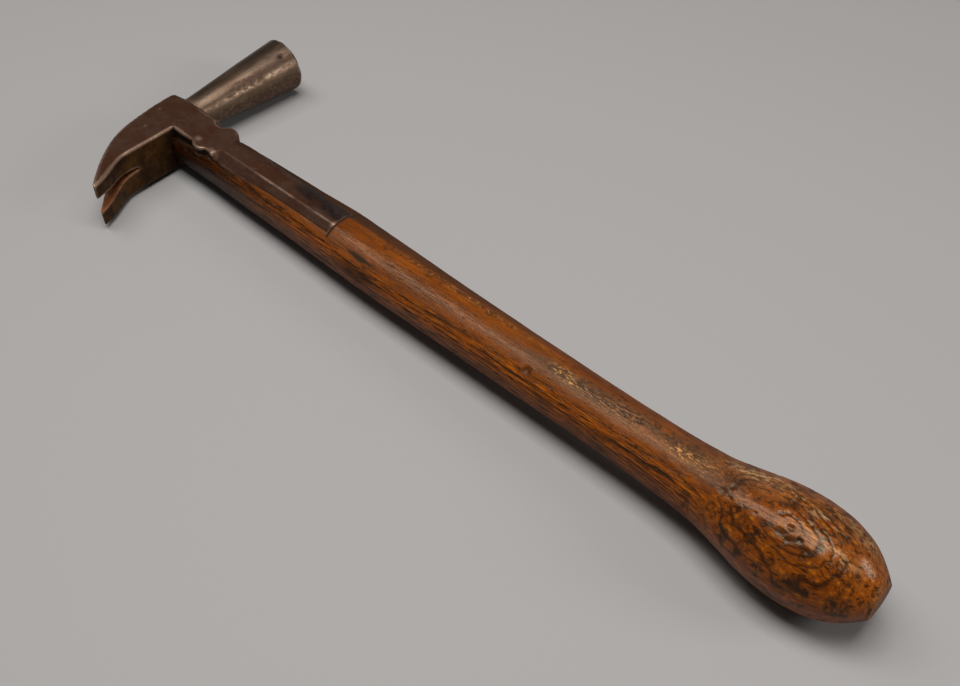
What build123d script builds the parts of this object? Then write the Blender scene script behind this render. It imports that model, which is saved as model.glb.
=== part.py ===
from build123d import *
import math
import os

# Strapped tack hammer: a forged iron claw head with two straps, a round steel poll, and a
# wooden handle held in the head's eye and riveted between the straps.
#
# It is modelled in the hammer's own axes, in millimetres: X runs down the handle from the
# crown of the head to the butt, Y runs along the head towards the poll, and Z runs from
# cheek to cheek. At the end every piece is laid on its side, as the hammer rests on a
# bench: the bulb of the handle and the rim of the poll touch the ground.

# ---- driving dimensions ----
handle_end = 281.8
cheek_half = 8.4
underside_x = 15.4
body_end_y = 8.4
body_end_chamfer = 2.0
cheek_edge_chamfer = 0.5

claw_tip_y = -41.6
claw_straight_to_y = -24.5
claw_tip_x = 22.0
claw_tip_thickness = 1.4
claw_bend_points = [(16.35, -28.7), (18.5, -32.9), (20.5, -37.0)]
slot_apex_y = -19.5
slot_half_width = 3.0
slot_bow = 0.05

eye_half_width = 4.6
eye_half_height = 4.3
eye_depth_left = 1.6

neck_edge_y = -5.6
neck_shoulder_x = 22.6
neck_start_x = 26.2
bead_x = 29.4
bead_half_length = 3.0
bead_height = 1.5
dressed_back_y = -4.3
dressed_back_z = -6.5
strap_start_x = 36.6
strap_end_x = 92.2
strap_half_width = 6.4
strap_taper_x = 66.0
strap_end_half_width = 5.4
strap_flat_half_width = 2.5
strap_bevel_angle = 28
strap_inner_start = 5.6
strap_inner_end = 6.5
strap_centre_y = 0.3

poll_axis_x = 5.6
poll_neck_radius = 6.0
poll_face_radius = 9.7
poll_face_y = 51.0
poll_rim_chamfer = 0.6
poll_tenon_radius = 3.6
poll_tenon_length = 3.2

facet_end_x = 215.0
facet_end_distance = 9.4
bulb_start_x = 215.0

rivet_radius = 1.6
rivet_head_radius = 2.1
rivet_head_depth = 0.8
rivet_x = {"strap_rivet_head_end": 52.0, "strap_rivet_grip_end": 80.0}

wedge_width = 6.4
wedge_length = 12.0
wedge_thickness = 1.8
wedge_tip_thickness = 0.4

bulb_radius = 14.25
bulb_x = 259.0

# Half-height of the wood beside the neck, from the body to the start of the strap bevels.
neck_cap_points = [
    (underside_x, eye_half_height),
    (25.0, 5.3),
    (31.0, 5.9),
    (37.5, 6.4),
    (42.0, 9.0),
]
cut_half_width = 20.0

# Handle stations: distance from the crown, radius, and how far the centre lies to the poll side.
grip_stations = [
    (underside_x, 8.15, 0.0),
    (34.0, 8.3, 0.2),
    (45.0, 8.7, 0.35),
    (55.0, 8.95, 0.4),
    (75.0, 9.25, 0.6),
    (92.0, 9.75, 0.7),
    (102.0, 9.95, 0.5),
    (118.0, 9.75, 0.3),
    (140.0, 9.35, 0.1),
    (165.0, 9.05, 0.0),
    (190.0, 8.85, 0.0),
    (bulb_start_x, 9.0, 0.0),
]
bulb_stations = [
    (bulb_start_x, 9.0),
    (224.0, 9.25),
    (233.0, 9.95),
    (243.0, 11.95),
    (251.0, 13.6),
    (bulb_x, bulb_radius),
    (266.0, 13.75),
    (272.0, 12.15),
    (276.5, 9.75),
    (280.0, 6.9),
]
butt_flat_radius = 5.0

os.makedirs("parts", exist_ok=True)


def across_handle(x):
    """The plane square to the handle at x, with its own X along Y and its own Y along Z."""
    return Plane(origin=(x, 0, 0), x_dir=(0, 1, 0), z_dir=(1, 0, 0))


def facet_outline(distance):
    """Corners of the planed top and bottom of the handle: a flat between two bevels, wide open at
    the sides. distance is from the centre to the flat."""
    side = 14.0
    low = distance - (side - strap_flat_half_width) * math.tan(
        math.radians(strap_bevel_angle)
    )
    flat_low_y = strap_centre_y - strap_flat_half_width
    flat_high_y = strap_centre_y + strap_flat_half_width
    return [
        (flat_high_y, distance),
        (strap_centre_y + side, low),
        (strap_centre_y + side, -low),
        (flat_high_y, -distance),
        (flat_low_y, -distance),
        (strap_centre_y - side, -low),
        (strap_centre_y - side, low),
        (flat_low_y, distance),
    ]


# ---- strap rivets: flush rivets with countersunk ends, through strap, wood and strap ----
def rivet_profile(x):
    """Half of a rivet's outline, on the plane through its axis."""
    return [
        (x, -cheek_half),
        (x + rivet_head_radius, -cheek_half),
        (x + rivet_radius, rivet_head_depth - cheek_half),
        (x + rivet_radius, cheek_half - rivet_head_depth),
        (x + rivet_head_radius, cheek_half),
        (x, cheek_half),
    ]


rivet_plane = Plane(origin=(0, strap_centre_y, 0), x_dir=(1, 0, 0), z_dir=(0, -1, 0))


def rivet_axis(x):
    """The centre line of the rivet at x."""
    return Axis((x, strap_centre_y, 0), (0, 0, 1))


with BuildPart() as strap_rivet_head_end:
    with BuildSketch(rivet_plane):
        with BuildLine():
            Polyline(*rivet_profile(rivet_x["strap_rivet_head_end"]), close=True)
        make_face()
    revolve(axis=rivet_axis(rivet_x["strap_rivet_head_end"]))

with BuildPart() as strap_rivet_grip_end:
    with BuildSketch(rivet_plane):
        with BuildLine():
            Polyline(*rivet_profile(rivet_x["strap_rivet_grip_end"]), close=True)
        make_face()
    revolve(axis=rivet_axis(rivet_x["strap_rivet_grip_end"]))

# ---- poll: round steel, flaring from its neck to the face, with a tenon into the body ----
poll_mid_y = (body_end_y + poll_face_y) / 2
poll_mid_radius = (poll_neck_radius + poll_face_radius) / 2 - 0.15

with BuildPart() as poll:
    with BuildSketch(Plane.XY):
        with BuildLine():
            side = Spline(
                (poll_axis_x + poll_neck_radius, body_end_y),
                (poll_axis_x + poll_mid_radius, poll_mid_y),
                (poll_axis_x + poll_face_radius, poll_face_y - poll_rim_chamfer),
            )
            Polyline(
                side @ 1,
                (poll_axis_x + poll_face_radius - poll_rim_chamfer, poll_face_y),
                (poll_axis_x, poll_face_y),
                (poll_axis_x, body_end_y - poll_tenon_length),
                (poll_axis_x + poll_tenon_radius, body_end_y - poll_tenon_length),
                (poll_axis_x + poll_tenon_radius, body_end_y),
                side @ 0,
            )
        make_face()
    revolve(axis=Axis((poll_axis_x, 0, 0), (0, 1, 0)))

# ---- eye wedge: spreads the end of the handle in the eye ----
wedge_top_x = eye_depth_left

with BuildPart() as eye_wedge:
    with BuildSketch(Plane.XZ):
        with BuildLine():
            Polyline(
                (wedge_top_x, wedge_thickness / 2),
                (wedge_top_x + wedge_length, wedge_tip_thickness / 2),
                (wedge_top_x + wedge_length, -wedge_tip_thickness / 2),
                (wedge_top_x, -wedge_thickness / 2),
                close=True,
            )
        make_face()
    extrude(amount=wedge_width / 2, both=True)

# ---- head: claw, body, cheeks and straps, one forging ----
strap_low_y = strap_centre_y - strap_half_width
strap_high_y = strap_centre_y + strap_half_width

with BuildPart() as head:
    with BuildSketch(Plane.XY):
        with BuildLine():
            crown = Spline(
                (0.3, body_end_y),
                (0.5, 2.0),
                (1.8, -9.0),
                (3.9, -18.6),
                (9.1, -28.4),
                (claw_tip_x - claw_tip_thickness, claw_tip_y + 0.2),
                tangents=[(0, -1), (0.72, -0.69)],
            )
            tip = Line(crown @ 1, (claw_tip_x, claw_tip_y))
            hook = Spline(
                (underside_x, claw_straight_to_y),
                *claw_bend_points,
                tip @ 1,
                tangents=[(0, -1), (0.3, -1)],
            )
            underside = Line(hook @ 0, (underside_x, neck_edge_y))
            claw_side = Line(underside @ 1, (neck_start_x, neck_edge_y))
            claw_bead = ThreePointArc(
                claw_side @ 1,
                (bead_x, neck_edge_y - bead_height),
                (bead_x + bead_half_length, neck_edge_y),
            )
            claw_notch = Polyline(
                claw_bead @ 1,
                (strap_start_x - 2.0, neck_edge_y),
                (strap_start_x - 1.2, strap_low_y),
                (strap_taper_x, strap_centre_y - strap_end_half_width),
                (strap_end_x, strap_centre_y - strap_end_half_width),
                (strap_end_x, strap_centre_y + strap_end_half_width),
                (strap_taper_x, strap_centre_y + strap_end_half_width),
                (strap_start_x + 1.2, strap_high_y - 0.6),
                (strap_start_x + 0.2, strap_high_y - 1.7),
            )
            poll_bead = ThreePointArc(
                claw_notch @ 1, (32.2, strap_high_y + 0.9), (28.2, 5.4)
            )
            scallop = ThreePointArc(
                poll_bead @ 1, (25.9, 5.2), (neck_shoulder_x, body_end_y)
            )
            Line(scallop @ 1, crown @ 0)
        make_face()
    extrude(amount=cheek_half, both=True)
    cheek_edges = head.edges().filter_by_position(Axis.Z, cheek_half, cheek_half)
    cheek_edges += head.edges().filter_by_position(Axis.Z, -cheek_half, -cheek_half)
    end_edges = cheek_edges.filter_by(Axis.X).filter_by_position(
        Axis.Y, body_end_y, body_end_y
    )
    chamfer(end_edges, body_end_chamfer)

    # the worn straight edges under the claw and along the neck
    straight_edges = head.edges().filter_by(Axis.X) + head.edges().filter_by(Axis.Y)
    worn_edges = straight_edges.filter_by_position(
        Axis.X, underside_x - 0.1, neck_start_x
    ).filter_by_position(Axis.Y, claw_straight_to_y, neck_edge_y + 0.1)
    chamfer(worn_edges, cheek_edge_chamfer)

    # the V slot between the prongs
    with BuildSketch(Plane.YZ):
        with BuildLine():
            slot_side = ThreePointArc(
                (slot_apex_y, 0),
                (
                    (slot_apex_y + claw_tip_y) / 2,
                    slot_half_width / 2 + slot_bow,
                ),
                (claw_tip_y - 0.5, slot_half_width),
            )
            Line(slot_side @ 1, (claw_tip_y - 0.5, 0))
            Line((claw_tip_y - 0.5, 0), slot_side @ 0)
        make_face()
        mirror(about=Plane.XZ)
    extrude(amount=claw_tip_x + 2, mode=Mode.SUBTRACT)

    # the fork between the cheeks and straps
    with BuildSketch(Plane.XZ.offset(-strap_high_y - 4)):
        with BuildLine():
            fork = Polyline(
                (underside_x, 0),
                (underside_x, eye_half_height),
                (neck_start_x + 4, eye_half_height),
                (strap_start_x + 3, strap_inner_start),
                (strap_end_x, strap_inner_end),
                (strap_end_x, 0),
            )
            Line(fork @ 1, fork @ 0)
        make_face()
        mirror(about=Plane.XZ)
    extrude(amount=strap_high_y - neck_edge_y + 7, mode=Mode.SUBTRACT)

    # the eye, where the handle passes through the body to the crown
    with BuildSketch(Plane.YZ.offset(-1)):
        RectangleRounded(2 * eye_half_width, 2 * eye_half_height, 0.8)
    extrude(amount=underside_x + 1, mode=Mode.SUBTRACT)

    # the lower cheek's neck is dressed back, clear of the wood
    with BuildSketch(across_handle(underside_x + 0.9)):
        with BuildLine():
            Polyline(
                (neck_edge_y - 3, -cheek_half),
                (dressed_back_y, -cheek_half),
                (neck_edge_y, dressed_back_z),
                (neck_edge_y - 3, dressed_back_z + 4.5),
                close=True,
            )
        make_face()
    extrude(amount=strap_start_x - underside_x, mode=Mode.SUBTRACT)

    # bevels along the straps, with a short run-out at the head end
    bevel_run = strap_half_width + 2.0
    bevel_drop = (bevel_run - strap_flat_half_width) * math.tan(
        math.radians(strap_bevel_angle)
    )
    run_out_plane = across_handle(strap_start_x - 1.6)
    full_plane = across_handle(strap_start_x + 0.8)
    for side in (1, -1):
        for face in (1, -1):
            bevel_corners = [
                (strap_centre_y + side * strap_flat_half_width, face * cheek_half),
                (strap_centre_y + side * bevel_run, face * cheek_half),
                (strap_centre_y + side * bevel_run, face * (cheek_half - bevel_drop)),
            ]
            run_out_corners = [
                (strap_centre_y + side * (bevel_run - 0.2), face * cheek_half),
                (strap_centre_y + side * bevel_run, face * cheek_half),
                (strap_centre_y + side * bevel_run, face * (cheek_half - 0.1)),
            ]
            with BuildSketch(full_plane) as bevel_section:
                with BuildLine():
                    Polyline(*bevel_corners, close=True)
                make_face()
            extrude(amount=strap_end_x - strap_start_x, mode=Mode.SUBTRACT)
            with BuildSketch(run_out_plane) as run_out_section:
                with BuildLine():
                    Polyline(*run_out_corners, close=True)
                make_face()
            loft(
                [run_out_section.sketch, bevel_section.sketch],
                mode=Mode.SUBTRACT,
            )

    add(poll.part, mode=Mode.SUBTRACT)
    add(strap_rivet_head_end.part, mode=Mode.SUBTRACT)
    add(strap_rivet_grip_end.part, mode=Mode.SUBTRACT)

# ---- handle: faceted grip, bulb, and the end that fills the eye ----
# The planed top and bottom: a flat between two bevels, fading out before the bulb.
with BuildPart() as planed_envelope:
    with BuildSketch(across_handle(underside_x)):
        with BuildLine():
            Polyline(*facet_outline(cheek_half), close=True)
        make_face()
    extrude(amount=strap_end_x - underside_x)
    with BuildSketch(across_handle(strap_end_x)) as facets_at_strap_end:
        with BuildLine():
            Polyline(*facet_outline(cheek_half), close=True)
        make_face()
    with BuildSketch(across_handle(facet_end_x)) as facets_at_bulb:
        with BuildLine():
            Polyline(*facet_outline(facet_end_distance), close=True)
        make_face()
    loft([facets_at_strap_end.sketch, facets_at_bulb.sketch], ruled=True)

with BuildPart() as handle:
    for x, radius, centre_y in grip_stations:
        with BuildSketch(across_handle(x)):
            with Locations((centre_y, 0)):
                Circle(radius)
    loft(ruled=True)
    add(planed_envelope.part, mode=Mode.INTERSECT)

    # the wood's top and bottom are pared down towards the body, where the fork narrows
    with BuildSketch(Plane.XZ.offset(-cut_half_width)):
        with BuildLine():
            pared_top = Polyline(*neck_cap_points)
            Polyline(
                pared_top @ 1,
                (neck_cap_points[-1][0], 2 * cheek_half),
                (underside_x, 2 * cheek_half),
                pared_top @ 0,
            )
        make_face()
        mirror(about=Plane.XZ)
    extrude(amount=2 * cut_half_width, mode=Mode.SUBTRACT)

    # the bulb, cut square at the butt
    with BuildSketch(Plane.XY):
        with BuildLine():
            bulb_side = Spline(
                *bulb_stations,
                (handle_end, butt_flat_radius),
                tangents=[(1, 0.004), (0.6, -1)],
            )
            Polyline(
                bulb_side @ 1,
                (handle_end, 0),
                (bulb_start_x, 0),
                bulb_side @ 0,
            )
        make_face()
    revolve(axis=Axis.X)

    # the tongue that fills the eye
    with BuildSketch(Plane.YZ.offset(eye_depth_left)):
        RectangleRounded(2 * eye_half_width, 2 * eye_half_height, 0.8)
    extrude(amount=underside_x - eye_depth_left + 1)

    add(head.part, mode=Mode.SUBTRACT)
    add(eye_wedge.part, mode=Mode.SUBTRACT)
    add(strap_rivet_head_end.part, mode=Mode.SUBTRACT)
    add(strap_rivet_grip_end.part, mode=Mode.SUBTRACT)

# ---- lay the hammer on its side ----
rest_tilt = math.degrees(
    math.atan((bulb_radius - poll_face_radius) / (bulb_x - poll_axis_x))
)
tilt = Rotation(0, -rest_tilt, 0)
pieces = [head, poll, handle, eye_wedge, strap_rivet_head_end, strap_rivet_grip_end]
laid = Compound([piece.part.moved(tilt) for piece in pieces]).bounding_box()
resting_place = Pos(-laid.center().X, -laid.center().Y, -laid.min.Z) * tilt
for piece in pieces:
    piece.part.move(resting_place)

head.part.label = "head"
export_step(head.part, "parts/head.step")
poll.part.label = "poll"
export_step(poll.part, "parts/poll.step")
handle.part.label = "handle"
export_step(handle.part, "parts/handle.step")
eye_wedge.part.label = "eye_wedge"
export_step(eye_wedge.part, "parts/eye_wedge.step")
strap_rivet_head_end.part.label = "strap_rivet_head_end"
export_step(strap_rivet_head_end.part, "parts/strap_rivet_head_end.step")
strap_rivet_grip_end.part.label = "strap_rivet_grip_end"
export_step(strap_rivet_grip_end.part, "parts/strap_rivet_grip_end.step")
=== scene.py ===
import itertools
import math

import bpy
import numpy as np
from mathutils import Matrix, Vector


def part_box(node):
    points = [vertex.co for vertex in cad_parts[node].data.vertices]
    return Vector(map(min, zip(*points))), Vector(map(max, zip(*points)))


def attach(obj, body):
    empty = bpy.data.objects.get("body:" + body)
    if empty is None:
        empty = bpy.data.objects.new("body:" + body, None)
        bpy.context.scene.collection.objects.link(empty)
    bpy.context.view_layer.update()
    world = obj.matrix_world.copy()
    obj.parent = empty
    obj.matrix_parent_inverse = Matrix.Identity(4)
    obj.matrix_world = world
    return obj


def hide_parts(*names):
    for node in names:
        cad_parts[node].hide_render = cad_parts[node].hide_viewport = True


# A strapped claw tack hammer lying on its side.
#
# Shapes are worked out in the hammer's own axes, in millimetres: X down the handle from the
# crown of the head, Y along the head towards the poll, Z from cheek to cheek. to_row() turns
# them into the row frame. Every piece keeps those hammer coordinates in an attribute, and
# the materials are drawn in them.

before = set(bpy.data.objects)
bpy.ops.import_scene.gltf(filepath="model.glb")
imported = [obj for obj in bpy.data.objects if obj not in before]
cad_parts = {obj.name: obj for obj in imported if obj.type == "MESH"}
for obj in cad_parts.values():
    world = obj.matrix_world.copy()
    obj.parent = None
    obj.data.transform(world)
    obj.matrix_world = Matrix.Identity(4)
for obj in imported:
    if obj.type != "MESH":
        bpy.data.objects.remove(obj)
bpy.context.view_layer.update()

POLL_X = 5.6  # the poll's axis
POLL_FACE_Y = 51.0
RIM_RADIUS = 9.7  # the poll's rim and the bulb are what it rests on
BULB_X, BULB_RADIUS = 259.0, 14.25
TILT = math.atan((BULB_RADIUS - RIM_RADIUS) / (BULB_X - POLL_X))
CHEEK = 8.4  # half the thickness of the head
STRAP_END = 92.2
STRAP_Y = 0.3  # the middle line of the straps
FLAT_HALF = 2.5  # half the width of the flat on each strap
BEVEL = math.radians(28)  # the lean of the bevels beside that flat
RIVET_X = {"strap_rivet_head_end": 52.0, "strap_rivet_grip_end": 80.0}

poll_low, poll_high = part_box("poll")
ORIGIN = np.array([
    (poll_low.x + poll_high.x) / 2 - 0.001 * POLL_X * math.cos(TILT),
    poll_high.y - 0.001 * POLL_FACE_Y,
    (poll_low.z + poll_high.z) / 2 - 0.001 * POLL_X * math.sin(TILT),
])
TURN = np.array([
    [math.cos(TILT), 0, -math.sin(TILT)],
    [0, 1, 0],
    [math.sin(TILT), 0, math.cos(TILT)],
])


def to_row(p):
    """Hammer axes in millimetres to the row frame in metres."""
    return 0.001 * np.asarray(p, float) @ TURN.T + ORIGIN


def to_hammer(p):
    """Row frame in metres to hammer axes in millimetres."""
    return 1000 * (np.asarray(p, float) - ORIGIN) @ TURN


# ---- small tools ----
def lattice_noise(p, seed):
    """Smooth noise from -1 to 1 at each point, about one bump per unit."""
    table = np.random.default_rng(seed).uniform(-1, 1, (32, 32, 32))
    cell = np.floor(p).astype(int)
    t = p - cell
    t = t * t * (3 - 2 * t)
    total = np.zeros(len(p))
    for i in (0, 1):
        for j in (0, 1):
            for k in (0, 1):
                corner = (cell + (i, j, k)) % 32
                weight = (
                    np.abs(1 - i - t[:, 0]) * np.abs(1 - j - t[:, 1]) * np.abs(1 - k - t[:, 2])
                )
                total += weight * table[corner[:, 0], corner[:, 1], corner[:, 2]]
    return total


def layers(p, size, octaves, seed):
    """Several octaves of noise; size is the largest bump in millimetres, along each axis."""
    total = np.zeros(len(p))
    for octave in range(octaves):
        total += 0.5**octave * lattice_noise(p * 2**octave / np.asarray(size), seed + octave)
    return total


def ease(low, high, value):
    """0 below low, 1 above high, and smooth between."""
    t = np.clip((value - low) / (high - low), 0, 1)
    return t * t * (3 - 2 * t)


def spot(p, x, y, size_x, size_y):
    """A soft round patch on the upper side, 1 at its middle."""
    d = ((p[:, 0] - x) / size_x) ** 2 + ((p[:, 1] - y) / size_y) ** 2
    return np.exp(-d) * (p[:, 2] > 0)


def patches(p, marks):
    """Soft patches added up; each mark is a weight and then what spot() takes."""
    return sum(weight * spot(p, *place) for weight, *place in marks)


def smooth_line(stations, x, blur=1.8):
    """The value at x of a line through stations, blurred by that many millimetres."""
    knots, values = (np.array(column, float) for column in zip(*stations))
    ends = (values[[1, -1]] - values[[0, -2]]) / (knots[[1, -1]] - knots[[0, -2]])
    knots = np.concatenate([[knots[0] - 12], knots, [knots[-1] + 12]])
    values = np.concatenate([[values[0] - 12 * ends[0]], values, [values[-1] + 12 * ends[1]]])
    fine = np.arange(knots[0], knots[-1], 0.25)
    kernel = np.exp(-0.5 * (np.arange(-20, 21) * 0.25 / blur) ** 2)
    line = np.convolve(np.interp(fine, knots, values), kernel / kernel.sum(), mode="same")
    return np.interp(x, fine, line)


def grid_mesh(name, rings):
    """A closed tube through rings (rings, columns, 3) in hammer axes, with a cap at each end."""
    count, columns, _ = rings.shape
    points = rings.reshape(-1, 3)
    centres = np.array([rings[0].mean(0), rings[-1].mean(0)])
    faces = []
    a = np.arange(columns)
    b = (a + 1) % columns
    for row in range(count - 1):
        base = row * columns
        quad = np.stack([base + a, base + b, base + columns + b, base + columns + a], 1)
        faces.append(quad)
    quads = np.concatenate(faces).tolist()
    start, end = len(points), len(points) + 1
    last = (count - 1) * columns
    quads += [(start, int(b[i]), int(a[i])) for i in range(columns)]
    quads += [(end, last + int(a[i]), last + int(b[i])) for i in range(columns)]
    mesh = bpy.data.meshes.new(name)
    mesh.from_pydata(to_row(np.concatenate([points, centres])).tolist(), [], quads)
    mesh.validate()
    return mesh


def set_attribute(mesh, name, values):
    """Keeps one number or one vector per vertex in the mesh."""
    values = np.asarray(values, np.float32)
    kind, field = ("FLOAT", "value") if values.ndim == 1 else ("FLOAT_VECTOR", "vector")
    attribute = mesh.attributes.new(name, kind, "POINT")
    attribute.data.foreach_set(field, values.ravel())


def mesh_points(mesh):
    """The vertices' places, in the row frame."""
    co = np.zeros(3 * len(mesh.vertices))
    mesh.vertices.foreach_get("co", co)
    return co.reshape(-1, 3)


def mesh_normals(mesh):
    """The vertices' normals, in hammer axes."""
    normals = np.zeros(3 * len(mesh.vertices), np.float32)
    mesh.vertex_normals.foreach_get("vector", normals)
    return normals.reshape(-1, 3) @ TURN


def mesh_edges(mesh):
    """The two vertices of each edge."""
    ends = np.zeros(2 * len(mesh.edges), np.int32)
    mesh.edges.foreach_get("vertices", ends)
    return ends.reshape(-1, 2)


def neighbour_mean(values, edges, count):
    """The mean of each vertex's neighbours."""
    a, b = edges.T
    degree = np.bincount(a, minlength=count) + np.bincount(b, minlength=count)
    total = np.stack([
        np.bincount(a, values[b, i], count) + np.bincount(b, values[a, i], count)
        for i in range(values.shape[1])
    ], 1)
    return total / degree[:, None]


def add_piece(name, mesh, material, slot_name, *nodes):
    """Shows mesh as a piece of the object, in place of the CAD nodes it stands for."""
    piece = bpy.data.objects.new(name, mesh)
    bpy.context.scene.collection.objects.link(piece)
    mesh.shade_smooth()
    mesh.materials.append(material)
    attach(piece, "root")
    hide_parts(*nodes)
    return piece


# ---- material tools ----
class Shader:
    """Builds one material's nodes. Positions come from the hammer attribute."""

    def __init__(self, name):
        self.material = bpy.data.materials.new(name)
        self.material.use_nodes = True
        self.tree = self.material.node_tree
        self.surface = self.tree.nodes["Principled BSDF"]
        self.position = self.attribute("hammer", "Vector")

    def add(self, kind, *inputs, output=0, **settings):
        node = self.tree.nodes.new(kind)
        for key, value in settings.items():
            setattr(node, key, value)
        for i, value in enumerate(inputs):
            if value is None:
                continue
            if isinstance(value, bpy.types.NodeSocket):
                self.tree.links.new(value, node.inputs[i])
            else:
                node.inputs[i].default_value = value
        return node.outputs[output]

    def attribute(self, name, output="Fac"):
        node = self.tree.nodes.new("ShaderNodeAttribute")
        node.attribute_name = name
        return node.outputs[output]

    def axis(self, index):
        return self.add("ShaderNodeSeparateXYZ", self.position, output=index)

    def math(self, operation, a, b=None, c=None, clamp=False):
        return self.add("ShaderNodeMath", a, b, c, operation=operation, use_clamp=clamp)

    def times(self, product, *factors):
        for factor in factors:
            product = self.math("MULTIPLY", product, factor)
        return product

    def plus(self, total, *terms):
        """The total with each term added, a term being a value and its weight."""
        for value, weight in terms:
            total = self.math("MULTIPLY_ADD", value, weight, total)
        return total

    def clamped(self, value):
        return self.math("ADD", value, 0.0, clamp=True)

    def stretch(self, x, y, z):
        return self.add("ShaderNodeVectorMath", self.position, (x, y, z), operation="MULTIPLY")

    def noise(self, vector, scale=1.0, detail=3.0, rough=0.55, warp=0.0):
        node = self.tree.nodes.new("ShaderNodeTexNoise")
        self.tree.links.new(vector, node.inputs["Vector"])
        node.inputs["Scale"].default_value = scale
        node.inputs["Detail"].default_value = detail
        node.inputs["Roughness"].default_value = rough
        node.inputs["Distortion"].default_value = warp
        return node.outputs[0]

    def between(self, value, low, high, to_low=0.0, to_high=1.0):
        return self.add(
            "ShaderNodeMapRange", value, low, high, to_low, to_high, interpolation_type="SMOOTHSTEP"
        )

    def mix(self, factor, a, b, blend="MIX"):
        node = self.tree.nodes.new("ShaderNodeMix")
        node.data_type = "RGBA"
        node.blend_type = blend
        node.clamp_factor = True
        for index, value in ((0, factor), (6, a), (7, b)):
            if isinstance(value, bpy.types.NodeSocket):
                self.tree.links.new(value, node.inputs[index])
            else:
                node.inputs[index].default_value = value if index == 0 else (*value, 1)
        return node.outputs[2]

    def bump(self, height, distance, strength):
        node = self.tree.nodes.new("ShaderNodeBump")
        node.inputs["Strength"].default_value = strength
        node.inputs["Distance"].default_value = distance
        self.tree.links.new(height, node.inputs["Height"])
        return node.outputs[0]

    def finish(self, **sockets):
        for name, value in sockets.items():
            socket = self.surface.inputs[name.replace("_", " ")]
            if isinstance(value, bpy.types.NodeSocket):
                self.tree.links.new(value, socket)
            else:
                socket.default_value = value
        return self.material


# ---- wood ----
def late_wood(s, layer_normal):
    """The dark end of each year's layer, where it comes to the surface."""
    depth = s.add(
        "ShaderNodeVectorMath", s.position, layer_normal, operation="DOT_PRODUCT", output=1
    )
    drift = s.noise(s.stretch(0.012, 0.05, 0.05), detail=2)
    wobble = s.noise(s.stretch(0.06, 0.3, 0.3), detail=3)
    ripple = s.noise(s.stretch(0.22, 0.8, 0.8), detail=3)
    depth = s.plus(depth, (drift, 3.0), (wobble, 1.3), (ripple, 0.55))
    phase = s.math("FRACT", s.math("DIVIDE", depth, 1.15))
    return s.times(s.between(phase, 0.45, 0.85), s.between(phase, 0.92, 1.0, 1.0, 0.0))


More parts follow.
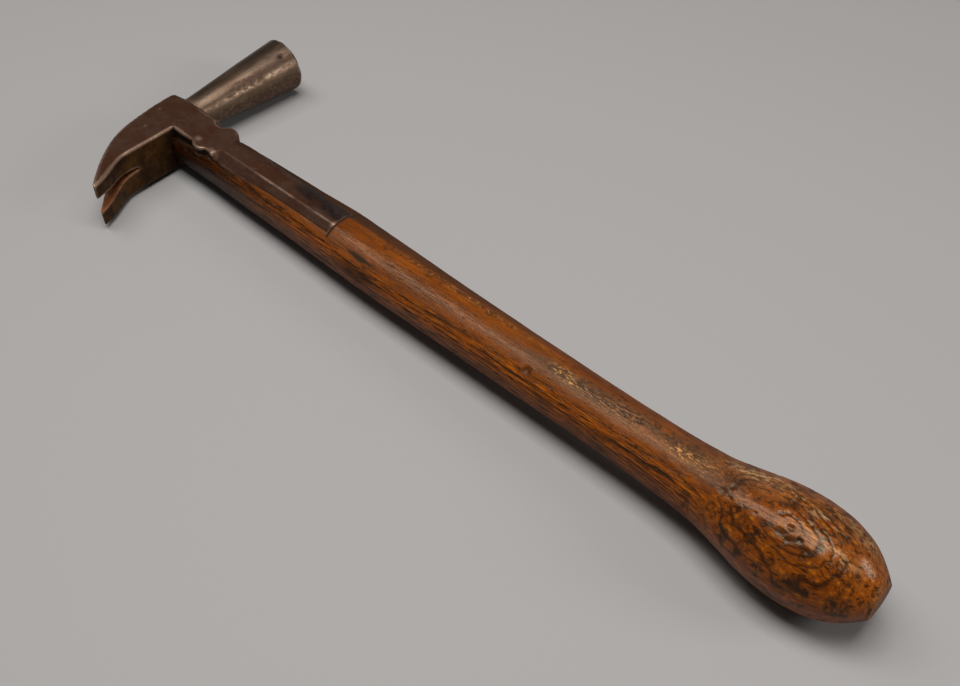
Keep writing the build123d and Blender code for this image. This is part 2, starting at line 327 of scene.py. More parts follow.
def wood_material(name, layer_normal, near_head_grime_and_shade):
    s = Shader(name)
    worn, grime, scuff, dent, side, dark, chafe, matte, bulb, ovals = (
        s.attribute(n)
        for n in ("worn", "grime", "scuff", "dent", "side", "dark", "chafe", "matte", "bulb", "ovals")
    )

    # Grain: it shows most on the sides, and least on the bulb.
    streaks = s.noise(s.stretch(0.03, 0.95, 0.95), detail=4, rough=0.62, warp=0.15)
    breakup = s.noise(s.stretch(0.13, 0.5, 0.5), detail=4, rough=0.7)
    hairs = s.noise(s.stretch(0.15, 2.9, 2.9), detail=3, rough=0.7)
    pores = s.noise(s.stretch(0.16, 2.6, 2.6), detail=2, rough=0.5)
    cloud = s.noise(s.stretch(0.03, 0.14, 0.14), detail=3)
    spared = s.between(bulb, 0, 1, 1.0, 0.25)
    base = s.mix(s.between(cloud, 0.36, 0.66), (0.115, 0.026, 0.0025), (0.19, 0.047, 0.004))
    # Painted light: the steep sides and the bulb get a lighter, richer base, as if lit as brightly as the
    # top.
    base = s.mix(s.times(side, 0.5), base, (0.3, 0.068, 0.003))
    hair_mask = s.times(s.between(hairs, 0.49, 0.6), s.between(side, 0, 1, 0.35, 0.95), spared)
    base = s.mix(hair_mask, base, (0.07, 0.018, 0.0025))
    gold = s.times(s.between(hairs, 0.46, 0.34), s.between(side, 0, 1, 0.2, 0.8), spared)
    base = s.mix(gold, base, (0.46, 0.118, 0.005))
    line_mask = s.times(
        late_wood(s, layer_normal), s.between(breakup, 0.4, 0.54), s.between(side, 0, 1, 0.4, 1.0), spared
    )
    base = s.mix(s.times(line_mask, 0.85), base, (0.02, 0.0075, 0.0025))
    dark_streak = s.times(s.between(streaks, 0.56, 0.66), s.between(side, 0, 1, 0.15, 0.9), spared)
    base = s.mix(dark_streak, base, (0.02, 0.008, 0.003))
    pore_mask = s.times(
        s.between(pores, 0.585, 0.65), s.between(side, 0, 1, 0.45, 1.0), s.between(bulb, 0, 1, 1.0, 0.6)
    )
    base = s.mix(s.times(pore_mask, 0.9), base, (0.011, 0.005, 0.002))
    blotch = s.noise(s.stretch(0.3, 0.55, 0.55), detail=4, rough=0.7)
    base = s.mix(s.times(bulb, s.between(blotch, 0.53, 0.6), 0.85), base, (0.022, 0.008, 0.0025))
    base = s.mix(s.times(bulb, s.between(blotch, 0.44, 0.36), 0.6), base, (0.42, 0.125, 0.008))

    # Marks of use, growth-ring ovals and darker places, some of them painted shade, in the places that
    # the attributes give.
    grit = s.noise(s.stretch(0.7, 1.5, 1.5), detail=4, rough=0.7)
    hatch = s.noise(s.stretch(0.4, 2.6, 2.6), detail=4, rough=0.75)
    flecks = s.noise(s.stretch(0.7, 1.9, 1.9), detail=3, rough=0.75)
    rub = s.noise(s.stretch(0.35, 1.1, 1.1), detail=4, rough=0.7)
    base = s.mix(s.times(chafe, s.between(grit, 0.34, 0.56), 0.55), base, (0.26, 0.15, 0.08))
    hatch_mask = s.times(chafe, s.between(hatch, 0.48, 0.53))
    base = s.mix(s.times(hatch_mask, 0.95), base, (0.022, 0.01, 0.005))
    grime_mask = s.times(grime, s.between(grit, 0.4, 0.56))
    base = s.mix(s.times(grime_mask, 0.88), base, (0.022, 0.012, 0.008))
    fleck_mask = s.times(worn, s.between(flecks, 0.54, 0.59))
    base = s.mix(fleck_mask, base, (0.6, 0.29, 0.08))
    base = s.mix(s.times(scuff, s.between(rub, 0.48, 0.57), 0.75), base, (0.6, 0.38, 0.19))
    base = s.mix(s.times(dent, 0.7), base, (0.016, 0.008, 0.004))
    base = s.mix(s.times(ovals, 0.9), base, (0.016, 0.007, 0.003))
    # Dark: stains, the joint and the butt, with painted shade under the neck and on the far side.
    base = s.mix(dark, base, (0.011, 0.005, 0.002))
    # Painted shade near the head, under the straps and neck, together with grime: the wood is darker
    # towards the head.
    if near_head_grime_and_shade:
        shade = s.between(s.axis(0), 20, 102, 0.11, 1.0)
        tint = s.add("ShaderNodeCombineXYZ", shade, shade, shade)
        base = s.mix(1.0, base, tint, "MULTIPLY")

    height = s.plus(
        s.times(line_mask, -0.5), (hair_mask, -0.5), (pore_mask, -1.0), (ovals, -1.2),
        (fleck_mask, -0.8), (hatch_mask, -0.6), (s.times(grime, grit), 2.0),
    )
    rough = s.plus(
        s.between(grit, 0.3, 0.8, 0.23, 0.32), (bulb, -0.14), (pore_mask, 0.15), (grime_mask, 0.2),
        (chafe, 0.08), (scuff, 0.15), (matte, 0.4),
    )
    return s.finish(
        Base_Color=base, Roughness=s.clamped(rough), Normal=s.bump(height, 0.00007, 0.8),
        Specular_IOR_Level=0.22, Specular_Tint=(1.0, 0.84, 0.6, 1.0),
    )


handle_wood = wood_material("handle_wood", (0.0, -0.316, 0.949), True)
wedge_wood = wood_material("wedge_wood", (0.0, 0.949, 0.316), False)


# ---- metal ----
def iron_material(name):
    s = Shader(name)
    cloud = s.noise(s.stretch(0.1, 0.1, 0.1), detail=4, rough=0.6, warp=0.6)
    mottle = s.noise(s.stretch(0.5, 0.65, 0.65), detail=5, rough=0.65)
    grain = s.noise(s.stretch(2.5, 3.5, 3.5), detail=3, rough=0.7)
    wear, rust, under, oxide, nick, dark = (
        s.attribute(n) for n in ("wear", "rust", "under", "oxide", "nick", "dark")
    )
    base = s.mix(s.between(cloud, 0.36, 0.64), (0.05, 0.0175, 0.0085), (0.06, 0.0295, 0.018))
    base = s.mix(s.between(mottle, 0.47, 0.74, 0, 0.55), base, (0.036, 0.014, 0.008))
    base = s.mix(s.between(mottle, 0.48, 0.3, 0, 0.3), base, (0.1, 0.064, 0.046))
    under_colour = s.mix(s.between(cloud, 0.42, 0.62), (0.021, 0.0082, 0.0018), (0.066, 0.026, 0.0042))
    under_colour = s.mix(s.between(mottle, 0.45, 0.65, 0, 0.6), under_colour, (0.022, 0.009, 0.003))
    base = s.mix(under, base, under_colour)
    rust_mask = s.times(rust, s.between(mottle, 0.3, 0.52))
    base = s.mix(rust_mask, base, (0.2, 0.065, 0.022))
    oxide_mask = s.times(oxide, s.between(mottle, 0.42, 0.6, 1.0, 0.6))
    base = s.mix(oxide_mask, base, (0.013, 0.009, 0.008))
    # dark: painted shade beside the neck, in the claw's corner and on the strap's near bevel.
    base = s.mix(dark, base, (0.01, 0.0045, 0.002))
    wear_mask = s.times(wear, s.between(mottle, 0.25, 0.55, 1.0, 0.6))
    base = s.mix(wear_mask, base, (0.31, 0.2, 0.14))
    base = s.mix(s.times(nick, 0.4), base, (0.3, 0.2, 0.14))

    height = s.plus(mottle, (grain, 0.35), (s.times(oxide_mask, grain), 1.4))
    rough = s.plus(
        s.between(mottle, 0.3, 0.7, 0.4, 0.55), (wear_mask, -0.12), (rust_mask, 0.25), (dark, 0.35)
    )
    metal = s.plus(s.times(wear_mask, 0.3), (dark, -0.5), (under, -0.35), (rust_mask, -0.4))
    return s.finish(
        Base_Color=base, Roughness=s.clamped(rough), Metallic=s.math("ADD", metal, 0.5, clamp=True),
        Normal=s.bump(height, 0.00012, 0.6), Specular_IOR_Level=0.1,
    )


def steel_material(name):
    s = Shader(name)
    cloud = s.noise(s.stretch(0.12, 0.05, 0.12), detail=4, rough=0.6, warp=0.4)
    brush = s.noise(s.stretch(1.5, 0.1, 1.5), detail=5, rough=0.7)
    speck = s.noise(s.stretch(0.9, 0.6, 0.9), detail=4, rough=0.7)
    rust, notch, wear = (s.attribute(n) for n in ("rust", "notch", "wear"))
    base = s.mix(s.between(cloud, 0.35, 0.65), (0.195, 0.135, 0.094), (0.125, 0.08, 0.052))
    base = s.mix(s.between(brush, 0.42, 0.7, 0, 0.55), base, (0.095, 0.055, 0.032))
    rust_mask = s.times(rust, s.between(speck, 0.28, 0.64))
    base = s.mix(s.times(rust_mask, 0.9), base, (0.06, 0.025, 0.01))
    base = s.mix(s.times(notch, 0.85), base, (0.045, 0.026, 0.018))
    base = s.mix(wear, base, (0.42, 0.32, 0.26))
    return s.finish(
        Base_Color=base, Roughness=s.plus(s.between(cloud, 0.3, 0.7, 0.27, 0.36), (rust_mask, 0.24)),
        Metallic=s.math("SUBTRACT", 0.95, s.times(rust_mask, 0.5)),
        Normal=s.bump(s.plus(brush, (speck, 0.6)), 0.00004, 0.5), Specular_IOR_Level=0.3,
    )


forged_iron = iron_material("forged_iron")
rivet_iron = iron_material("rivet_iron")
worn_steel = steel_material("worn_steel")

# ---- head: the CAD forging, softened by age ----
VOXEL = 0.00034  # metres


def iron_relief(p):
    """Hammer marks and fine pitting, in millimetres out of the surface."""
    return 0.05 * layers(p, (7, 7, 7), 3, 11), 0.018 * layers(p, (1.3, 1.3, 1.3), 2, 21)


def box_mesh(low, high):
    corners = list(itertools.product(*zip(low, high)))
    faces = [(0, 1, 3, 2), (4, 6, 7, 5), (0, 4, 5, 1), (2, 3, 7, 6), (0, 2, 6, 4), (1, 5, 7, 3)]
    return corners, faces


def remeshed_head():
    """The head's CAD mesh as one even skin.

    The straps are thickened on their hidden side, and the rivet holes are filled behind the
    rivets' peened ends.
    """
    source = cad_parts["head"].data
    points = mesh_points(source).tolist()
    faces = [list(p.vertices) for p in source.polygons]
    fillings = [(40.0, STRAP_END, 6.4, 4.9, 6.3)]
    fillings += [(x - 2.3, x + 2.3, 2.3, 5.5, CHEEK) for x in RIVET_X.values()]
    for low_x, high_x, half, low_z, high_z in fillings:
        for side in (1, -1):
            corners, box_faces = box_mesh(
                (low_x, STRAP_Y - half, min(side * low_z, side * high_z)),
                (high_x, STRAP_Y + half, max(side * low_z, side * high_z)),
            )
            start = len(points)
            points += to_row(corners).tolist()
            faces += [[start + i for i in face] for face in box_faces]
    mesh = bpy.data.meshes.new("head_source")
    mesh.from_pydata(points, [], faces)
    source_object = bpy.data.objects.new("head_source", mesh)
    bpy.context.scene.collection.objects.link(source_object)
    remesh = source_object.modifiers.new("remesh", "REMESH")
    remesh.mode = "VOXEL"
    remesh.voxel_size = VOXEL
    graph = bpy.context.evaluated_depsgraph_get()
    result = bpy.data.meshes.new_from_object(source_object.evaluated_get(graph))
    bpy.data.objects.remove(source_object)
    return result


head_mesh = remeshed_head()
edges = mesh_edges(head_mesh)
count = len(head_mesh.vertices)
skin = to_hammer(mesh_points(head_mesh))
for _ in range(2):
    skin += 0.55 * (neighbour_mean(skin, edges, count) - skin)
head_mesh.vertices.foreach_set("co", to_row(skin).ravel())
head_mesh.update()
normals = mesh_normals(head_mesh)
blurred = skin.copy()
for _ in range(14):
    blurred += 0.9 * (neighbour_mean(blurred, edges, count) - blurred)
convex = ((skin - blurred) * normals).sum(1)

# Relief: hammer marks, the two beads of the neck, small nicks, and a rounded back corner.
x, y, z = skin.T
forging, pitting = iron_relief(skin)
oxide = (
    ease(67, 72, x)
    * ease(92.6, 91.4, x)
    * ease(-1.4, 0.4, y - 0.075 * (86 - x))
    * (z > 0)
)
bead = spot(skin, 27.0, -3.7, 1.5, 1.2)
nub = spot(skin, 35.4, -4.6, 1.5, 0.7)
nicks = spot(skin, 4.1, -2.4, 0.45, 0.35) + spot(skin, 8.2, -11.4, 0.4, 0.6)
shift = forging + pitting * (1 + 2.5 * oxide) + 0.14 * bead + 0.1 * nub - 0.1 * nicks - 0.05
shift -= 0.95 * np.exp(-((x - 0.3) ** 2 + (y - y.max()) ** 2) / 5)
skin += normals * shift[:, None]
head_mesh.vertices.foreach_set("co", to_row(skin).ravel())
head_mesh.update()

# Bright wear: convex edges, the claw's lower edge, the ridge of the strap, and the neck's two beads,
# where it is also a painted highlight.
x, y, z = skin.T
worn_away = 0.6 + 0.55 * layers(skin, (4, 4, 4), 2, 31)
on_strap = ease(33.5, 36, x)
wear = ease(0.06, 0.2, convex) * np.clip(worn_away, 0.1, 1) * (0.2 + 0.8 * ease(-2, 2, z))
wear *= 1 - 0.55 * on_strap
wear *= 1 - 0.8 * ease(34.5, 36, x) * ease(41, 39, x)
claw_edge = (y < -5.2) * ease(7.2, 7.6, z) * ease(0.03, 0.1, convex) * ease(0.1, 0.35, normals[:, 0])
wear = np.maximum(wear, 0.82 * claw_edge)
ridge = np.exp(-(((y + 2.2) / 0.28) ** 2)) * (z > 8) * ease(37, 40, x)
ridge *= 0.25 + 0.75 * ease(-0.1, 0.4, layers(skin, (5, 5, 5), 2, 41)) + spot(skin, 59.5, -2.2, 4, 1)
wear = np.maximum(wear, 0.7 * np.clip(ridge, 0, 1) + spot(skin, 91.6, -2.2, 0.7, 0.9))
# The beads: worn bright metal, and a painted highlight on their domes.
wear = np.maximum(wear, np.clip(1.3 * bead**2 + 1.1 * nub, 0, 1))

# Darker places: a golden-brown colour under the claw, and painted shade inside its corner, beside the
# neck and on the strap's near bevel. The walls of the claw's slot are rusty.
facing = normals[:, 0] * (x > 13) * (y < -5.0) * (x < 24)
under = ease(0.35, 0.8, facing) + 0.9 * ease(1, -3, z)
neck_side_shade = (
    ease(15.0, 15.8, x) * ease(37, 35, x) * ease(0.2, 0.6, -normals[:, 1])
    * ease(8.1, 7.7, z) * (z > 0) * (y < -3)
)
corner = spot(skin, 15.2, -5.0, 4, 6) * ease(7.6, 6.8, z)
slot_wall = (y < -20) * (np.abs(z) < 3.6) * ease(0.4, 0.8, np.abs(normals[:, 2]))
strap_bevel_shade = on_strap * ease(0.15, 0.35, -normals[:, 1]) * ease(5, 5.6, z)
set_attribute(head_mesh, "hammer", skin)
set_attribute(head_mesh, "wear", np.clip(wear, 0, 1))
set_attribute(head_mesh, "under", np.clip(under, 0, 1))
set_attribute(head_mesh, "rust", np.clip(0.8 * slot_wall, 0, 1))
set_attribute(head_mesh, "oxide", oxide)
set_attribute(head_mesh, "nick", np.clip(nicks, 0, 1))
set_attribute(head_mesh, "dark", np.clip(0.95 * neck_side_shade + 0.9 * corner + 0.4 * strap_bevel_shade, 0, 1))
add_piece("head_forging", head_mesh, forged_iron, "forged_iron", "head")

# ---- poll ----
POLL_STATIONS = [
    (6.6, 5.9), (8.4, 6.0), (14, 6.45), (20, 7.0), (26, 7.52), (34, 8.3), (42, 8.95), (51, 9.68),
]
RIM_START, RIM_DEPTH = 49.9, 1.1


def poll_rings():
    """The rings of a cone that ends in a rounded rim and a flat face."""
    angle = np.linspace(0, 2 * np.pi, 220, endpoint=False)
    along = np.concatenate([
        np.linspace(6.6, RIM_START, 150),
        POLL_FACE_Y - RIM_DEPTH * np.cos(np.linspace(0.15, 0.5, 8) * np.pi),
    ])
    rim = np.clip((along - RIM_START) / RIM_DEPTH, 0, 1)
    radius = smooth_line(POLL_STATIONS, along) - 0.75 * (1 - np.sqrt(np.clip(1 - rim**2, 0, 1)))
    shares = (0.985, 0.96, 0.9, 0.8, 0.66, 0.5, 0.34, 0.18, 0.05)
    profile = list(zip(along, radius)) + [(POLL_FACE_Y, radius[-1] * share) for share in shares]
    return np.array([
        np.stack([POLL_X + r * np.sin(angle), np.full_like(angle, y), r * np.cos(angle)], 1)
        for y, r in profile
    ])


rings = poll_rings()
flat = rings.reshape(-1, 3)
out = flat - np.array([POLL_X, 0, 0])
out[:, 1] = 0
radius = np.linalg.norm(out, axis=1)
direction = out / radius[:, None]
turn_angle = np.degrees(np.arctan2(direction[:, 0], direction[:, 2]))


def poll_spot(y, degrees, size_y, size_mm):
    """A soft patch on the poll, at this place along it and this turn from the top."""
    away = np.radians((turn_angle - degrees + 180) % 360 - 180) * radius
    return np.exp(-(((flat[:, 1] - y) / size_y) ** 2) - (away / size_mm) ** 2)


notch = poll_spot(46.6, 33, 1.5, 0.9)
chips = poll_spot(50.6, 20, 0.7, 1.6) + poll_spot(50.8, -8, 0.5, 1.1) + poll_spot(50.7, 70, 0.5, 1.4)
dull = 0.03 + 0.025 * layers(flat, (5, 14, 5), 3, 41) + 0.006 * layers(flat, (1.4, 3, 1.4), 2, 51)
inward = np.clip(dull, 0, 1) + 0.28 * notch + 0.2 * chips
flat = flat - direction * inward[:, None]
face_wear = (flat[:, 1] > 50.9) * np.clip(0.05 + 0.06 * layers(flat, (2, 2, 2), 3, 61), 0, 0.2)
flat[:, 1] -= face_wear
poll_data = grid_mesh("poll_steel", flat.reshape(rings.shape))
whole = to_hammer(mesh_points(poll_data))
around = np.degrees(np.arctan2(whole[:, 0] - POLL_X, whole[:, 2]))
band = np.exp(-(((around - 41) / 11) ** 2)) * ease(14, 26, whole[:, 1])
rust = np.clip(
    0.7 * ease(11, 8.5, whole[:, 1])
    + 0.45 * ease(40, 60, around) + 0.4 * ease(15, 5, whole[:, 1])
    + 0.75 * ease(72, 95, np.abs(around))
    + 0.9 * band
    + 0.5 * ease(0.1, 0.8, layers(whole, (4, 14, 4), 3, 71)),
    0, 1,
)
set_attribute(poll_data, "hammer", whole)
set_attribute(poll_data, "rust", rust)
pad = np.zeros(len(whole) - len(notch))
set_attribute(poll_data, "notch", np.clip(np.append(notch, pad) + 0.4 * band**2, 0, 1))
rim_line = ease(49.6, 50.3, whole[:, 1]) * (0.35 + 0.5 * layers(whole, (3, 3, 3), 2, 81))
set_attribute(poll_data, "wear", np.clip(rim_line + np.append(chips, pad), 0, 1))
add_piece("poll_steel", poll_data, worn_steel, "worn_steel", "poll")

# ---- handle ----
# Stations along the handle: its radius, the y of its centre, and half the thickness of the
# wood that shows under the neck.
RADIUS_STATIONS = [
    (13, 8.15), (34, 8.3), (45, 8.7), (55, 8.95), (75, 9.25), (90, 9.8), (101, 9.97), (115, 9.8),
    (140, 9.33), (165, 9.05), (190, 8.85), (205, 8.88), (215, 9.0), (224, 9.25), (233, 9.95),
    (238, 10.9), (243, 12.0), (247, 12.95), (251, 13.7), (255, 14.1), (259, 14.3), (262.5, 14.15),
    (266, 13.8), (269, 13.15), (272, 12.25), (274.5, 11.15), (276.5, 9.9), (278.5, 8.4),
    (280, 7.05), (281, 6.1), (281.8, 5.2),
]
CENTRE_STATIONS = [
    (13, 0.1), (40, 0.3), (75, 0.6), (90, 0.85), (102, 0.6), (118, 0.3), (140, 0.08), (165, 0.0),
    (280, 0.0),
]
CAP_STATIONS = [(13, 4.25), (15.4, 4.3), (25, 5.3), (31, 5.9), (37.5, 6.45), (42, 9.5), (50, 16)]
EYE_HALF_Y, EYE_HALF_Z = 4.55, 4.25

# Dents: where along and across, the size of each and its depth.
DENTS = [
    (174.1, -5.9, 0.95, 0.4), (205.5, -1.1, 0.8, 0.35), (209.4, -1.1, 0.6, 0.3), (213.6, 1.3, 0.7, 0.3),
    (229.5, -11.4, 0.7, 0.3), (231.4, -9.9, 0.7, 0.3), (257.5, -5.4, 0.8, 0.35), (258.5, -8.0, 0.7, 0.3),
    (256.0, -7.4, 0.9, 0.25), (261.0, -6.6, 0.6, 0.25), (263.5, -7.6, 0.7, 0.25), (246.5, -8.9, 0.9, 0.3),
    (243.5, -7.6, 0.8, 0.3), (250.0, -11.0, 0.8, 0.25), (153.0, 1.9, 0.8, 0.25), (129.6, 1.6, 0.7, 0.25),
    (240.0, -3.0, 0.7, 0.2), (268.0, 3.5, 0.8, 0.25), (271.5, 5.0, 0.7, 0.25), (263.0, 5.5, 0.7, 0.2),
]
pit_numbers = np.random.default_rng(171)
for _ in range(80):
    x = pit_numbers.uniform(236, 279)
    reach = float(smooth_line(RADIUS_STATIONS, x))
    y = reach * math.sin(pit_numbers.uniform(-1.35, 1.3))
    DENTS.append((x, y, pit_numbers.uniform(0.35, 0.85), pit_numbers.uniform(0.1, 0.3)))
for _ in range(70):
    x = pit_numbers.uniform(108, 236)
    y = pit_numbers.choice([pit_numbers.normal(2.8, 0.9), pit_numbers.uniform(-8, 3)])
    DENTS.append((x, y, pit_numbers.uniform(0.25, 0.5), pit_numbers.uniform(0.06, 0.16)))

# Other marks: weight, where along and across, and size along and across.
ROUGH = [
    (1, 187, -1.5, 9, 3), (1, 226, -2, 7, 5), (1, 240, 3, 9, 4), (1, 262, 6, 13, 4),
    (1, 140, 2.6, 26, 1.2),
]
GRIME = [
    (0.9, 180, -1.6, 7, 1.4), (0.7, 196, -0.2, 8, 1.0), (0.9, 225, 0.4, 6, 2.6), (0.8, 238, -2.6, 7, 3.2),
    (0.7, 213, 0.5, 6, 1.2), (0.8, 132, 2.8, 26, 0.9), (0.6, 258, -7.5, 6, 2), (0.7, 220, -1.0, 5, 2),
    (0.5, 268, 2.0, 7, 3),
]
SCUFF = [
    (0.7, 240, 3.6, 6, 1.6), (0.7, 247, 5.6, 6, 1.2), (0.6, 262, 2.0, 5, 1.4), (0.7, 272, 6.0, 5, 2),
    (0.6, 270, -3.5, 5, 2),
]
CHAFE = [
    (1, 190, -1.3, 15, 2.3), (0.9, 207, -0.4, 9, 2.3), (0.7, 226, -0.5, 9, 3.5),
    (0.6, 244, 2.5, 9, 3.5),
]
WORN = [
    (1, 183, -1.0, 4, 1.4), (1, 187.5, -2.4, 2, 0.8), (0.9, 223, -2, 4, 1.5), (0.6, 231, -1.2, 4, 2),
    (1.2, 240, 3.2, 5, 0.9), (1.2, 247, 5.3, 4, 1), (0.6, 255, 3.5, 6, 1.5), (0.7, 264, 6.5, 6, 2),
    (0.7, 273, 5.5, 4, 2), (0.45, 145, 2.6, 24, 0.9),
]
DARK_STREAKS = [(0.85, 104, -6.0, 12, 1.1), (0.8, 107, -8.2, 9, 2.2), (0.6, 132, -6.6, 20, 0.9)]
OVAL_SIZES = (2.2, 4.4, 6.0, 8.0, 9.4, 12.0)


def section_radius(x, theta):
    """How far the wood reaches from its own centre at each angle, for one ring."""
    c, s = np.cos(theta), np.sin(theta)
    radius = float(smooth_line(RADIUS_STATIONS, x, 1.2))
    centre = float(smooth_line(CENTRE_STATIONS, x))
    # The flats are level with the cheeks up to the strap's end, rise a little after it, and
    # run out before the bulb.
    top = CHEEK + max(x - STRAP_END, 0) / 122.8 + 12 * float(ease(206, 226, x))
    cap = float(np.interp(x, *zip(*CAP_STATIONS)))
    shift = STRAP_Y - centre
    limits = [np.full_like(theta, radius)]
    for side in (1, -1):
        limits.append(np.where(side * s > 1e-6, top / np.maximum(side * s, 1e-6), 99))
        for lean in (1, -1):
            normal_y = lean * math.sin(BEVEL)
            normal_z = side * math.cos(BEVEL)
            reach = top * math.cos(BEVEL) + FLAT_HALF * math.sin(BEVEL)
            reach += shift * normal_y
            towards = c * normal_y + s * normal_z
            limits.append(np.where(towards > 1e-6, reach / np.maximum(towards, 1e-6), 99))
        if x < 50:
            limits.append(np.where(side * s > 1e-6, cap / np.maximum(side * s, 1e-6), 99))
    # The least of the limits, rounded where two meet, and more so past the strap's end.
    sharp = 5.0 - 3.2 * float(ease(92.5, 100, x))
    stack = np.array(limits)
    least = stack.min(0)
    soft = -np.log(np.exp(-sharp * (stack - least)).sum(0)) / sharp + least
    return np.maximum(soft, 0.2), centre


def handle_rings():
    """Rings of wood from the tongue in the eye to the butt, sunk a little under the straps."""
    columns = 168
    even = np.linspace(0, 2 * np.pi, columns, endpoint=False)
    theta = even - 0.35 * np.sin(even - math.radians(130))
    c, s = np.cos(theta), np.sin(theta)
    rings = []
    for x in (1.85, 1.95, 3.0, 6.0, 9.0, 12.3):
        reach = np.minimum(
            EYE_HALF_Y / np.maximum(np.abs(c), 1e-6), EYE_HALF_Z / np.maximum(np.abs(s), 1e-6)
        )
        corner = 0.97 if x > 1.9 else 0.93
        rings.append(np.stack([np.full(columns, x), corner * reach * c, corner * reach * s], 1))
    along = np.concatenate([
        np.arange(13.0, 91.6, 0.56),
        [91.8, 92.0, 92.12, 92.28, 92.42, 92.6, 92.9],
        np.arange(93.3, 232, 0.5),
        np.arange(232, 281.3, 0.44),
        [281.45, 281.6, 281.7, 281.76],
    ])
    for x in along:
        radius, centre = section_radius(x, theta)
        half = float(np.interp(x, (36, 66), (6.4, 5.4)))
        y = centre + radius * c
        z = radius * s
        hidden = (
            ease(92.26, 92.14, x) * ease(34.0, 36.0, x)
            * ease(half + 0.05, half - 0.15, np.abs(y - STRAP_Y)) * (np.abs(z) > 4)
        )
        joint = math.exp(-(((x - 92.35) / 0.18) ** 2)) * (np.abs(z) > 3)
        pull = 1 - (0.7 * hidden + 0.16 * joint) / radius
        rings.append(np.stack([np.full(columns, x), centre + radius * pull * c, z * pull], 1))
    last = rings[-1]
    for share in (0.97, 0.92, 0.84, 0.74, 0.62, 0.5, 0.38, 0.26, 0.14, 0.04):
        rings.append(last * (1, share, share) + (0.02, 0, 0))
    return np.array(rings)


rings = handle_rings()
flat = rings.reshape(-1, 3)
axis_y = smooth_line(CENTRE_STATIONS, flat[:, 0])
out = flat - np.stack([flat[:, 0], axis_y, np.zeros(len(flat))], 1)
radius = np.maximum(np.linalg.norm(out, axis=1), 1e-6)
direction = out / radius[:, None]
outside = (flat[:, 0] > 13.2) * (flat[:, 0] < 281.7)
hollow = 0.05 + 0.07 * layers(flat, (26, 9, 9), 3, 101) + 0.025 * layers(flat, (5, 1.4, 1.4), 2, 111)
rough_place = np.clip(patches(flat, ROUGH), 0, 1)
hollow += 0.11 * rough_place * layers(flat, (2.2, 1.3, 1.3), 3, 121)
dent_mask = np.zeros(len(flat))
for x, y, size, deep in DENTS:
    d = np.sqrt(((flat[:, 0] - x) / 1.25) ** 2 + (flat[:, 1] - y) ** 2) / size
    near = (flat[:, 2] > 0) * (d < 3)
    hollow += near * deep * (np.exp(-(d**2) * 1.4) - 0.25 * np.exp(-((d - 1.5) ** 2) * 6))
    dent_mask = np.maximum(dent_mask, near * np.exp(-((d - 0.85) ** 2) * 9))
flat = flat - direction * (np.clip(hollow, -0.02, 1) * outside)[:, None]
handle_data = grid_mesh("handle_wood", flat.reshape(rings.shape))
pad = np.zeros(len(handle_data.vertices) - len(flat))
whole = to_hammer(mesh_points(handle_data))
x, y, z = whole.T

# Dark places: painted shade on the top under the neck, the dark joint at the strap's end, the butt, dark
# streaks, and the far side, which is darker from grime and from painted shade.
cap = np.interp(x, *zip(*CAP_STATIONS))
dark = (
    0.3 * ease(cap - 1.0, cap - 0.5, z) * ease(39, 36, x)
    + 0.35 * ease(280.0, 281.0, x)
    + 0.9 * np.exp(-(((x - 92.5) / 0.45) ** 2)) * (np.abs(y) < 6.4)
    + patches(whole, DARK_STREAKS) * (0.3 + 0.7 * ease(-0.25, 0.25, layers(whole, (9, 1.1, 1.1), 3, 141)))
    + (z > 0) * ease(2.6, 4.6, y) * np.interp(x, (60, 100, 150, 200), (0.88, 0.78, 0.6, 0.35))
)

# Growth rings cut through by the bulb show as ovals.
along = (x - 256.5) / 2.0
wander = 0.9 * layers(whole, (9, 4, 9), 3, 151) + 0.35 * layers(whole, (3, 1.5, 3), 2, 161)
oval = np.hypot(along, y + 5.2 + 0.25 * along) + wander
ovals = sum(np.exp(-(((oval - size) / 0.24) ** 2)) for size in OVAL_SIZES)
ovals *= (z > 0) * ease(232, 242, x) * ease(278, 272, x)
ovals *= 0.2 + 0.8 * ease(-0.5, 0.05, layers(whole, (7, 5, 7), 3, 171))

facing_up = mesh_normals(handle_data)[:, 2]
steep = ease(0.93, 0.6, np.abs(facing_up))
matte = steep * ease(0, 2, y) + 0.8 * ease(0.25, -0.35, facing_up) + dark + ease(280.8, 281.4, x)
set_attribute(handle_data, "hammer", whole)
set_attribute(handle_data, "ovals", np.clip(ovals, 0, 1))
set_attribute(handle_data, "side", np.maximum(steep, 0.6 * ease(234, 250, x)))
set_attribute(handle_data, "matte", np.clip(matte, 0, 1))
set_attribute(handle_data, "bulb", ease(226, 246, x))
set_attribute(handle_data, "dark", np.clip(dark, 0, 0.95))
set_attribute(handle_data, "chafe", np.clip(patches(whole, CHAFE), 0, 1))
set_attribute(handle_data, "worn", np.clip(patches(whole, WORN), 0, 1))
set_attribute(handle_data, "grime", np.clip(patches(whole, GRIME), 0, 1))
set_attribute(handle_data, "scuff", np.clip(patches(whole, SCUFF) + 0.35 * ease(280.2, 281.2, x), 0, 1))
set_attribute(handle_data, "dent", np.clip(np.append(dent_mask, pad), 0, 1))
add_piece("handle_wood", handle_data, handle_wood, "handle_wood", "handle")


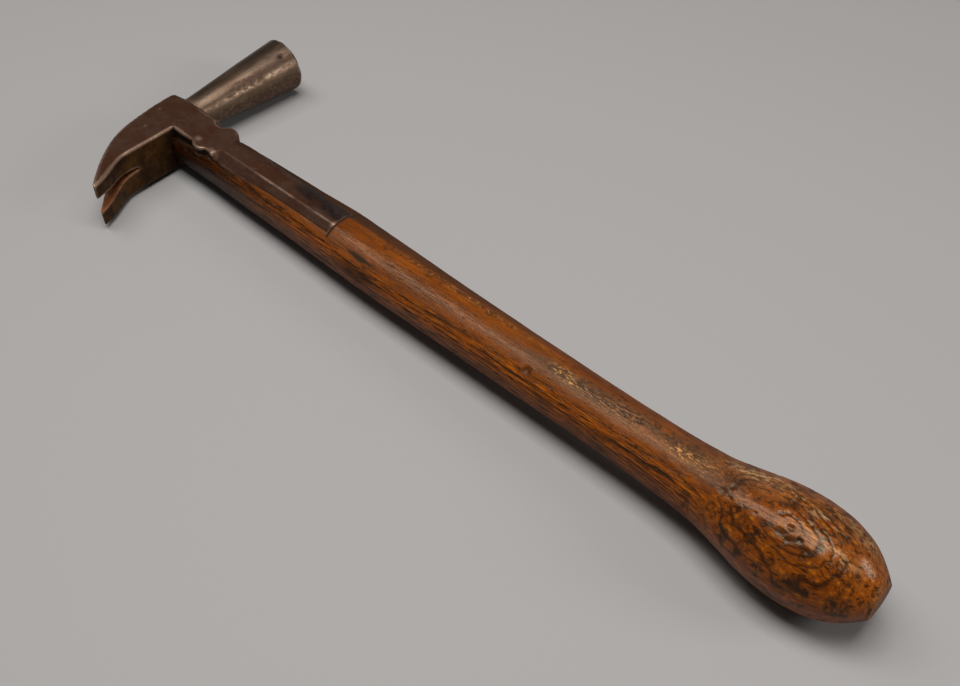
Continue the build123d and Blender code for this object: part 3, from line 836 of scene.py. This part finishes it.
# ---- eye wedge and strap rivets ----
def eye_wedge_rings():
    """A thin wedge with rounded corners, widest at the crown."""
    even = np.linspace(0, 2 * np.pi, 64, endpoint=False)
    c, s = np.cos(even), np.sin(even)
    corner_power = 0.35
    rings = []
    for x in np.concatenate([[1.62, 1.66, 1.75, 1.9], np.linspace(2.4, 13.5, 18)]):
        thick = np.interp(x, [1.6, 13.6], [0.88, 0.2])
        wide = 3.18 if x > 1.7 else 3.1
        ring_y = wide * np.sign(c) * np.abs(c) ** corner_power
        ring_z = thick * np.sign(s) * np.abs(s) ** corner_power
        rings.append(np.stack([np.full_like(even, x), ring_y, ring_z], 1))
    return np.array([rings[0] * (1, share, share) for share in (0.2, 0.7, 0.95)] + rings)


rings = eye_wedge_rings()
flat = rings.reshape(-1, 3)
end_grain = (flat[:, 0] < 1.63) * np.clip(0.04 + 0.05 * layers(flat, (0.9, 0.9, 0.5), 3, 131), 0, 0.2)
flat[:, 0] += end_grain
wedge_data = grid_mesh("eye_wedge_wood", flat.reshape(rings.shape))
set_attribute(wedge_data, "hammer", to_hammer(mesh_points(wedge_data)))
add_piece("eye_wedge_wood", wedge_data, wedge_wood, "wedge_wood", "eye_wedge")


def rivet_rings(x):
    """A rivet from cheek to cheek, its countersunk ends peened and filed nearly flush."""
    angle = np.linspace(0, 2 * np.pi, 72, endpoint=False)
    profile = [
        (8.385, 0.2), (8.385, 0.7), (8.385, 1.2), (8.38, 1.6), (8.37, 1.85), (8.34, 2.0), (8.27, 2.06),
        (8.1, 2.02), (7.9, 1.86), (7.6, 1.6), (6.0, 1.58), (3.0, 1.58),
    ]
    profile = profile + [(-z, r) for z, r in reversed(profile)]
    return np.array([
        np.stack([x + r * np.cos(angle), STRAP_Y + r * np.sin(angle), np.full_like(angle, z)], 1)
        for z, r in profile
    ])


for name, x in RIVET_X.items():
    rings = rivet_rings(x)
    flat = rings.reshape(-1, 3)
    forging, pitting = iron_relief(flat)
    flat[:, 2] += np.sign(flat[:, 2]) * (forging + pitting)
    data = grid_mesh(name + "_iron", flat.reshape(rings.shape))
    data.flip_normals()
    whole = to_hammer(mesh_points(data))
    set_attribute(data, "hammer", whole)
    set_attribute(data, "oxide", 0.5 * ease(66, 73, whole[:, 0]))
    add_piece(name + "_iron", data, rivet_iron, "rivet_iron", name)

# ---- floor, light and camera ----
floor_mesh = bpy.data.meshes.new("floor")
floor_mesh.from_pydata([(-3, -3, 0), (3, -3, 0), (3, 3, 0), (-3, 3, 0)], [], [(0, 1, 2, 3)])
floor = bpy.data.objects.new("floor", floor_mesh)
bpy.context.scene.collection.objects.link(floor)
floor_material = bpy.data.materials.new("floor")
floor_material.use_nodes = True
floor_shader = floor_material.node_tree.nodes["Principled BSDF"]
floor_shader.inputs["Base Color"].default_value = (0.285, 0.273, 0.265, 1)
floor_shader.inputs["Roughness"].default_value = 0.7
floor_mesh.materials.append(floor_material)

world = bpy.data.worlds.new("studio")
bpy.context.scene.world = world
world.use_nodes = True
world.node_tree.nodes["Background"].inputs["Color"].default_value = (1.0, 0.97, 0.94, 1)
world.node_tree.nodes["Background"].inputs["Strength"].default_value = 0.09


def soft_light(name, direction, distance, width, length, energy):
    """A softbox in that direction from the hammer, facing it, its length along Y."""
    lamp = bpy.data.lights.new(name, "AREA")
    lamp.shape = "RECTANGLE"
    lamp.size = width
    lamp.size_y = length
    lamp.energy = energy
    holder = bpy.data.objects.new(name, lamp)
    bpy.context.scene.collection.objects.link(holder)
    facing = Vector(direction).normalized()
    across = Vector((0, 1, 0)).cross(facing).normalized()
    holder.rotation_euler = Matrix((across, facing.cross(across), facing)).transposed().to_euler()
    holder.location = facing * distance


soft_light("overhead_softbox", (0.05, -0.03, 1.0), 0.85, 0.5, 0.42, 6.9)
soft_light("head_end_softbox", (-0.46, -0.14, 0.87), 0.85, 0.42, 0.26, 2.5)
soft_light("side_softbox", (0.78, 0.42, 0.45), 0.9, 0.26, 0.26, 2.2)

camera_data = bpy.data.cameras.new("camera")
camera_data.lens = 45
camera_data.sensor_width = 36
camera = bpy.data.objects.new("camera", camera_data)
bpy.context.scene.collection.objects.link(camera)
camera.location = (0.171586, -0.176, 0.270136)
azimuth, elevation = math.radians(42.94), math.radians(48.22)
look = Vector((
    -math.sin(azimuth) * math.cos(elevation),
    math.cos(azimuth) * math.cos(elevation),
    -math.sin(elevation),
))
camera.rotation_euler = look.to_track_quat("-Z", "Y").to_euler()
bpy.context.scene.camera = camera
bpy.context.scene.view_settings.view_transform = "Standard"
